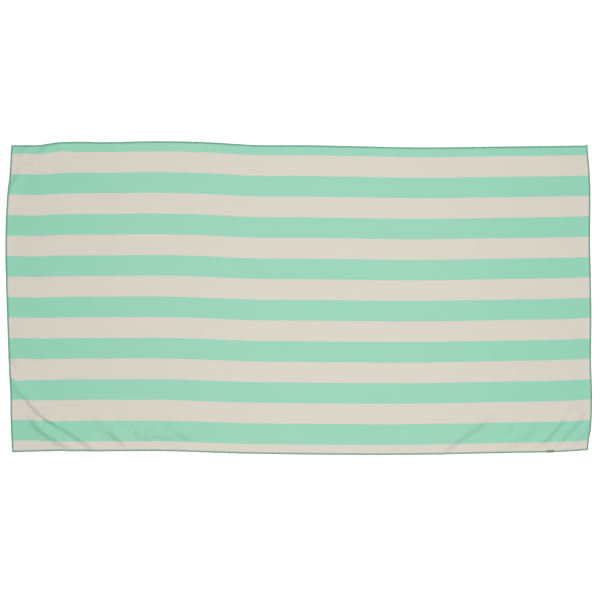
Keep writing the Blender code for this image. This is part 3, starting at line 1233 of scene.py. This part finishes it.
@dataclass
class StitchRun:
    """One run of three-thread overlock stitching along one side. Sizes in millimetres.

    Attributes:
        shape: how the towel lies.
        side: the side that it wraps.
        strands: the threads of one stitch.
        short_end: how far a short run reaches from its middle, to the long runs' seams.
        tail: length of the trimmed chain of thread at a long run's right end.
        tail_width: how much of its width that chain keeps.
        tail_curl: radius in which it curls round, towards +Y.
        tail_start: how far from the corner it starts.
        tail_rise: how high it lies over the stitching.
        middle: the stitching's middle line, in from the cloth's edge.
        slack: how far single stitches lie out of line, along, inward and above.
        most_slack: as far as any stitch does.
        join: how near the threads' ends in two stitches are, to be joined.
        end_sides: of the open tube ends that are closed, at most.
    """

    shape: LaidShape
    side: SewnSide
    strands: tuple[Strand, ...] = (UPPER_LOOPER, LOWER_LOOPER, NEEDLE_THREAD)
    short_end: float = 444.6
    tail: float = 7.2
    tail_width: float = 0.5
    tail_curl: float = 2.1
    tail_start: float = 2.7
    tail_rise: float = 1.1
    middle: float = 2.3
    slack: tuple[float, float, float] = (0.06, 0.10, 0.035)
    most_slack: float = 0.3
    join: float = 0.01
    end_sides: int = 6

    @property
    def reach(self) -> float:
        """From the side's middle to the end of its run, without the tail."""
        return self.shape.length / 2 if self.side.is_long else self.short_end

    def stitch(self) -> bpy.types.Mesh:
        """Loops the threads of one stitch.

        Returns:
            The mesh of a stitch at the start of a straight side, in millimetres.
        """
        bm = bmesh.new()
        bm.loops.layers.uv.new(Strand.uv_map)
        for strand in self.strands:
            strand.add_to(bm)
        for face in bm.faces:
            face.smooth = True
        return mesh_from(bm)

    def straight_run(self) -> bpy.types.Mesh:
        """Repeats the stitch along the side with an Array modifier.

        Returns:
            The mesh of the whole run, straight and in millimetres.
        """
        stitch = self.stitch()
        carrier = linked("stitch_carrier", stitch)
        run = 2 * self.reach + (self.tail - self.tail_start) * self.side.is_long
        array = carrier.modifiers.new("stitches", "ARRAY")
        array.use_relative_offset = False
        array.use_constant_offset = True
        array.constant_offset_displace = (PITCH, 0, 0)
        array.count = round(run / PITCH)
        array.use_merge_vertices = True
        array.merge_threshold = self.join
        graph = bpy.context.evaluated_depsgraph_get()
        made = bpy.data.meshes.new_from_object(
            carrier.evaluated_get(graph), preserve_all_data_layers=True, depsgraph=graph
        )
        bpy.data.objects.remove(carrier)
        bpy.data.meshes.remove(stitch)
        return made

    def loosened(self, places: Places) -> Places:
        """Moves whole stitches slightly out of line, the same way in each run of the script.

        Args:
            places: along the side, inward and above for each vertex, in millimetres.

        Returns:
            The same rows, moved.
        """
        rng = np.random.default_rng(list(SewnSide).index(self.side))
        stations = PITCH * np.arange(-1, places[:, 0].max() / PITCH + 2)
        moved = places.copy()
        for axis, slack in enumerate(self.slack):
            steps = np.clip(rng.normal(0, slack, len(stations)), -self.most_slack, self.most_slack)
            moved[:, axis] += np.interp(places[:, 0], stations, steps)
        return moved

    def laid_out(self, places: Places) -> Places:
        """Lays the straight run along its side.

        Args:
            places: along the side, inward and above for each vertex, in millimetres.

        Returns:
            One row of x, y and z for each, in metres.
        """
        along = places[:, 0] - self.reach
        chain = np.maximum(along - self.reach + self.tail_start, 0) * self.side.is_long
        loose = smooth_step(chain / self.tail_start)
        inward = self.middle + (places[:, 1] - self.middle) * (1 - (1 - self.tail_width) * loose)
        half = self.shape.half_width if self.side.is_long else self.shape.half_length
        across = self.side.sign * (half - inward)
        turn = chain / self.tail_curl
        arm = self.tail_curl - (across - self.side.sign * (half - self.middle))
        along = along - chain + arm * np.sin(turn)
        across = across + arm * (1 - np.cos(turn))
        x, y = (along, across) if self.side.is_long else (across, along)
        return self.shape.points(x, y, places[:, 2] + self.tail_rise * loose)

    def build(self, thread: bpy.types.Material) -> bpy.types.Object:
        """Sews the run.

        Args:
            thread: the material of its threads.

        Returns:
            The piece.
        """
        mesh = self.straight_run()
        move_to(mesh, self.laid_out(self.loosened(places_of(mesh))))
        bm = bmesh.new()
        bm.from_mesh(mesh)
        bpy.data.meshes.remove(mesh)
        rims = [edge for edge in bm.edges if edge.is_boundary]
        bmesh.ops.holes_fill(bm, edges=rims, sides=self.end_sides)
        bmesh.ops.recalc_face_normals(bm, faces=bm.faces)
        name = f"overlock_{self.side.name.lower()}"
        return add_piece(name, mesh_from(bm), [thread])


@dataclass
class SideLabel:
    """The end of a small bare label, folded over the lower stitching. Sizes in millimetres.

    Attributes:
        shape: how the towel lies.
        name: the piece's name.
        middle: its place along the lower side.
        length: along that side.
        thickness: of the tape.
        fold: the tape's way from its inner edge over the stitching and down, as pairs of how
            far in from the cloth's edge it is and how high over the cloth's underside.
        curl: how much its free ends lift.
        cells: how many cells its grid has, along the side and over the fold.
    """

    uv_map = "tape_weave"

    shape: LaidShape
    name: str = "bare_label"
    middle: float = 738.1
    length: float = 20.2
    thickness: float = 0.35
    fold: tuple[Place, ...] = (
        (5.90, 2.16), (4.80, 2.50), (2.60, 2.58), (0.80, 2.58),
        (-0.20, 2.40), (-0.62, 2.04), (-0.80, 1.50), (-0.84, 0.60),
    )
    curl: float = 0.25
    cells: tuple[int, int] = (24, 18)

    def build(self) -> bpy.types.Object:
        """Folds the label over the stitching.

        Returns:
            The piece.
        """
        inward, above = np.array(self.fold).T
        run = np.concatenate(([0], np.cumsum(np.hypot(np.diff(inward), np.diff(above)))))
        bm = bmesh.new()
        lay = bm.loops.layers.uv.new(self.uv_map)
        bmesh.ops.create_grid(bm, x_segments=self.cells[0], y_segments=self.cells[1], size=0.5)
        for face in bm.faces:
            face.smooth = True
            for loop in face.loops:
                at = loop.vert.co
                loop[lay].uv = (MM * self.length * at.x, MM * run[-1] * (at.y + 0.5))
        flat = np.array([vert.co for vert in bm.verts])
        down = flat[:, 1] + 0.5
        lifted = self.curl * np.abs(2 * flat[:, 0]) ** 4 * (1 - down)
        x = self.middle + self.length * flat[:, 0]
        y = np.interp(down, run / run[-1], inward) - self.shape.half_width
        z = np.interp(down, run / run[-1], above) + lifted
        for vert, point in zip(bm.verts, self.shape.points(x, y, z)):
            vert.co = point
        bmesh.ops.recalc_face_normals(bm, faces=bm.faces)
        bmesh.ops.solidify(bm, geom=bm.faces[:], thickness=MM * self.thickness)
        bmesh.ops.recalc_face_normals(bm, faces=bm.faces)
        return add_piece(self.name, mesh_from(bm), [WovenTape().material()])


# ---------------------------------------------------------------- studio


@dataclass
class Studio:
    """A pale floor, soft studio light and the camera over the towel. Sizes in metres.

    Attributes:
        floor_size: side of the floor.
        floor_drop: how far it lies under the towel's own surface.
        floor_colour: of the floor.
        floor_cloud: size of its slightly lighter spots.
        floor_lighter: how many times their colour is the floor's.
        floor_grain, floor_depth: size and depth of its fine relief.
        floor_rough: its roughness, from its plain parts to those spots.
        floor_glow: how much light the floor gives of itself, as a lit backdrop does.
        lamp_place, lamp_size: the long soft lamp over the towel, and its width and length.
        lamp_power: in watts.
        dome: strength of the even light from all round.
        view_width: what the photograph's frame takes in.
        view_middle: the place under its middle.
        lens, sensor: the camera's focal length and sensor width, in millimetres.
    """

    floor_size: float = 9.0
    floor_drop: float = 0.0001
    floor_colour: Colour = (0.90, 0.90, 0.90)
    floor_cloud: float = 0.4
    floor_lighter: float = 1.01
    floor_grain: float = 0.004
    floor_depth: float = 0.00002
    floor_rough: tuple[float, float] = (0.80, 0.85)
    floor_glow: float = 0.16
    lamp_place: tuple[float, float, float] = (0.12, 0.0, 3.5)
    lamp_size: tuple[float, float] = (1.8, 4.5)
    lamp_power: float = 172.0
    dome: float = 0.04
    view_width: float = 1.7505
    view_middle: tuple[float, float] = (0.0035, -0.0058)
    lens: float = 85.0
    sensor: float = 36.0

    def add_floor(self) -> bpy.types.Object:
        """Lays the floor under the towel.

        Returns:
            The floor.
        """
        bm = bmesh.new()
        bmesh.ops.create_grid(bm, x_segments=1, y_segments=1, size=self.floor_size / 2)
        bmesh.ops.translate(bm, vec=(0, 0, -self.floor_drop), verts=bm.verts)
        bench = NodeBench("pale_floor")
        tone = bench.noise(bench.object_places(), size=self.floor_cloud)
        lighter = tuple(self.floor_lighter * part for part in self.floor_colour)
        grain = bench.noise(bench.object_places(), size=self.floor_grain)
        plain, spots = self.floor_rough
        finish = bench.finish(
            colour=tone.between(self.floor_colour, lighter),
            rough=plain + (spots - plain) * tone,
            normal=bench.raised(grain, depth=self.floor_depth),
            Specular_IOR_Level=0.1,
            Emission_Color=(1.0, 1.0, 1.0),
            Emission_Strength=self.floor_glow,
        )
        floor = add_piece("floor", mesh_from(bm), [finish])
        return floor

    def add_lamp(self) -> None:
        """Hangs the long soft lamp."""
        light = bpy.data.lights.new("long_soft_lamp", "AREA")
        light.shape = "RECTANGLE"
        light.size, light.size_y = self.lamp_size
        light.energy = self.lamp_power
        lamp = linked("long_soft_lamp", light)
        lamp.location = self.lamp_place
        lamp.visible_camera = False

    def add_dome(self) -> None:
        """Sets the even light from all round."""
        world = bpy.data.worlds.new("dome")
        world.use_nodes = True
        sky = world.node_tree.nodes["Background"]
        sky.inputs["Color"].default_value = (1.0, 1.0, 1.0, 1.0)
        sky.inputs["Strength"].default_value = self.dome
        bpy.context.scene.world = world

    def add_camera(self) -> None:
        """Puts the camera straight over the towel, its picture's top towards +Y."""
        camera = bpy.data.cameras.new("camera")
        camera.lens = self.lens
        camera.sensor_width = self.sensor
        stand = linked("camera", camera)
        stand.location = (*self.view_middle, self.lens / self.sensor * self.view_width)
        bpy.context.scene.camera = stand

    def build(self) -> bpy.types.Object:
        """Sets up everything round the towel.

        Returns:
            The floor.
        """
        scene = bpy.context.scene
        scene.view_settings.view_transform = "Standard"
        self.add_lamp()
        self.add_dome()
        self.add_camera()
        return self.add_floor()


# ---------------------------------------------------------------- the towel


@dataclass
class BeachTowel:
    """The whole towel: its cloth, its four runs of stitching and its label.

    Attributes:
        shape: how it lies, which all its pieces share.
    """

    shape: LaidShape = field(default_factory=LaidShape)

    def dress(self, piece: bpy.types.Object, node: str) -> None:
        """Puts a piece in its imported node's place.

        Args:
            piece: the piece.
            node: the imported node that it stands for.
        """
        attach(piece, "root")
        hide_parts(node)
        faces = sum(len(face.vertices) - 2 for face in piece.data.polygons)
        LOG.info("%s stands for %s: %d triangles", piece.name, node, faces)

    def build(self, floor: bpy.types.Object) -> None:
        """Args:
            floor: what the towel lies on; not used.
        """
        cloth = Cloth(self.shape).build()
        self.dress(cloth, "towel_cloth")
        thread = SpunThread().material()
        for side in SewnSide:
            run = StitchRun(self.shape, side).build(thread)
            self.dress(run, f"stitching_{side.name.lower()}")
        label = SideLabel(self.shape).build()
        self.dress(label, "side_label")


def main() -> None:
    logging.basicConfig(level=logging.INFO, format="%(message)s")
    floor = Studio().build()
    BeachTowel().build(floor)


if __name__ == "__main__":
    main()
